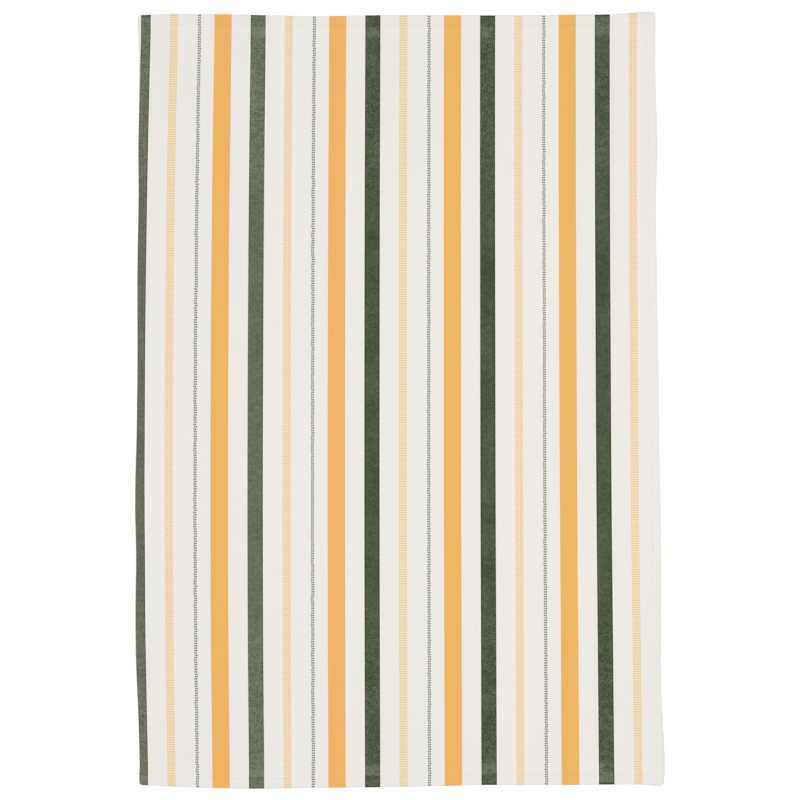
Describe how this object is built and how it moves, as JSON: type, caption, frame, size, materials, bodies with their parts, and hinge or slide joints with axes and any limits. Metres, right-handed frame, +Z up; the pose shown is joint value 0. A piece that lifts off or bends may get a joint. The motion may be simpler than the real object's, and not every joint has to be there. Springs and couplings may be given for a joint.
{
  "type": "tea towel",
  "caption": "Hemmed rectangular cotton tea towel lying flat and face up, with lengthwise stripes in mustard, dark green and pale yellow on off-white.",
  "frame": {"origin": "bottom centre of the towel's box, on the surface it lies on", "axes": "+X across the towel from its left edge to its right one, +Y along the stripes from its bottom end to its top one, +Z up out of its printed face"},
  "size_m": [0.4868, 0.7142, 0.0047],
  "materials": {
    "towel": "matt plain-woven cotton, off-white with printed stripes"
  },
  "bodies": {
    "root": {"towel": "towel"}
  },
  "joints": []
}
